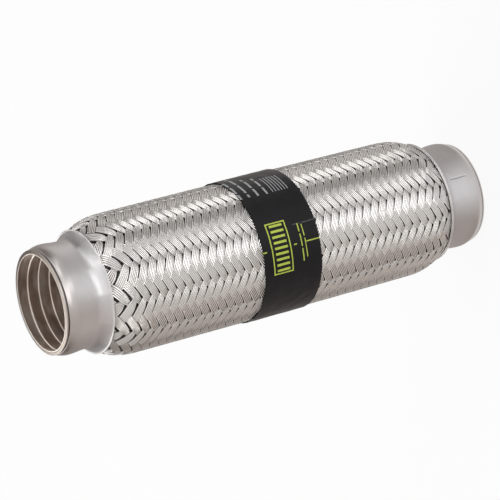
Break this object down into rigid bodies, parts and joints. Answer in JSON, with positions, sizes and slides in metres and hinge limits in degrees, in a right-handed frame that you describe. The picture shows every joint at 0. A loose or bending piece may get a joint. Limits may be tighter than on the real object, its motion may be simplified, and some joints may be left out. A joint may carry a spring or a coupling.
{
  "type": "exhaust flex pipe",
  "caption": "Flexible exhaust coupling: woven steel braid over a bellows and a strip-wound liner, with a crimped collar at each end and a label band round the middle.",
  "frame": {"origin": "centre of the outlet collar's rim, on the surface the pipe stands on", "axes": "+Z along the pipe's axis, from the outlet rim up to the inlet rim; the pipe is round, so +X is free"},
  "size_m": [0.0676, 0.0676, 0.23],
  "materials": {
    "collar_steel": "satin pressed stainless steel",
    "braid_steel": "drawn stainless wire",
    "bellows_steel": "bright rolled stainless sheet",
    "liner_steel": "dull warm stainless strip",
    "label_film": "semi-gloss black printed film"
  },
  "bodies": {
    "root": {"inlet_collar": "collar_steel", "outlet_collar": "collar_steel", "braid": "braid_steel", "bellows": "bellows_steel", "liner": "liner_steel", "label": "label_film"}
  },
  "joints": []
}
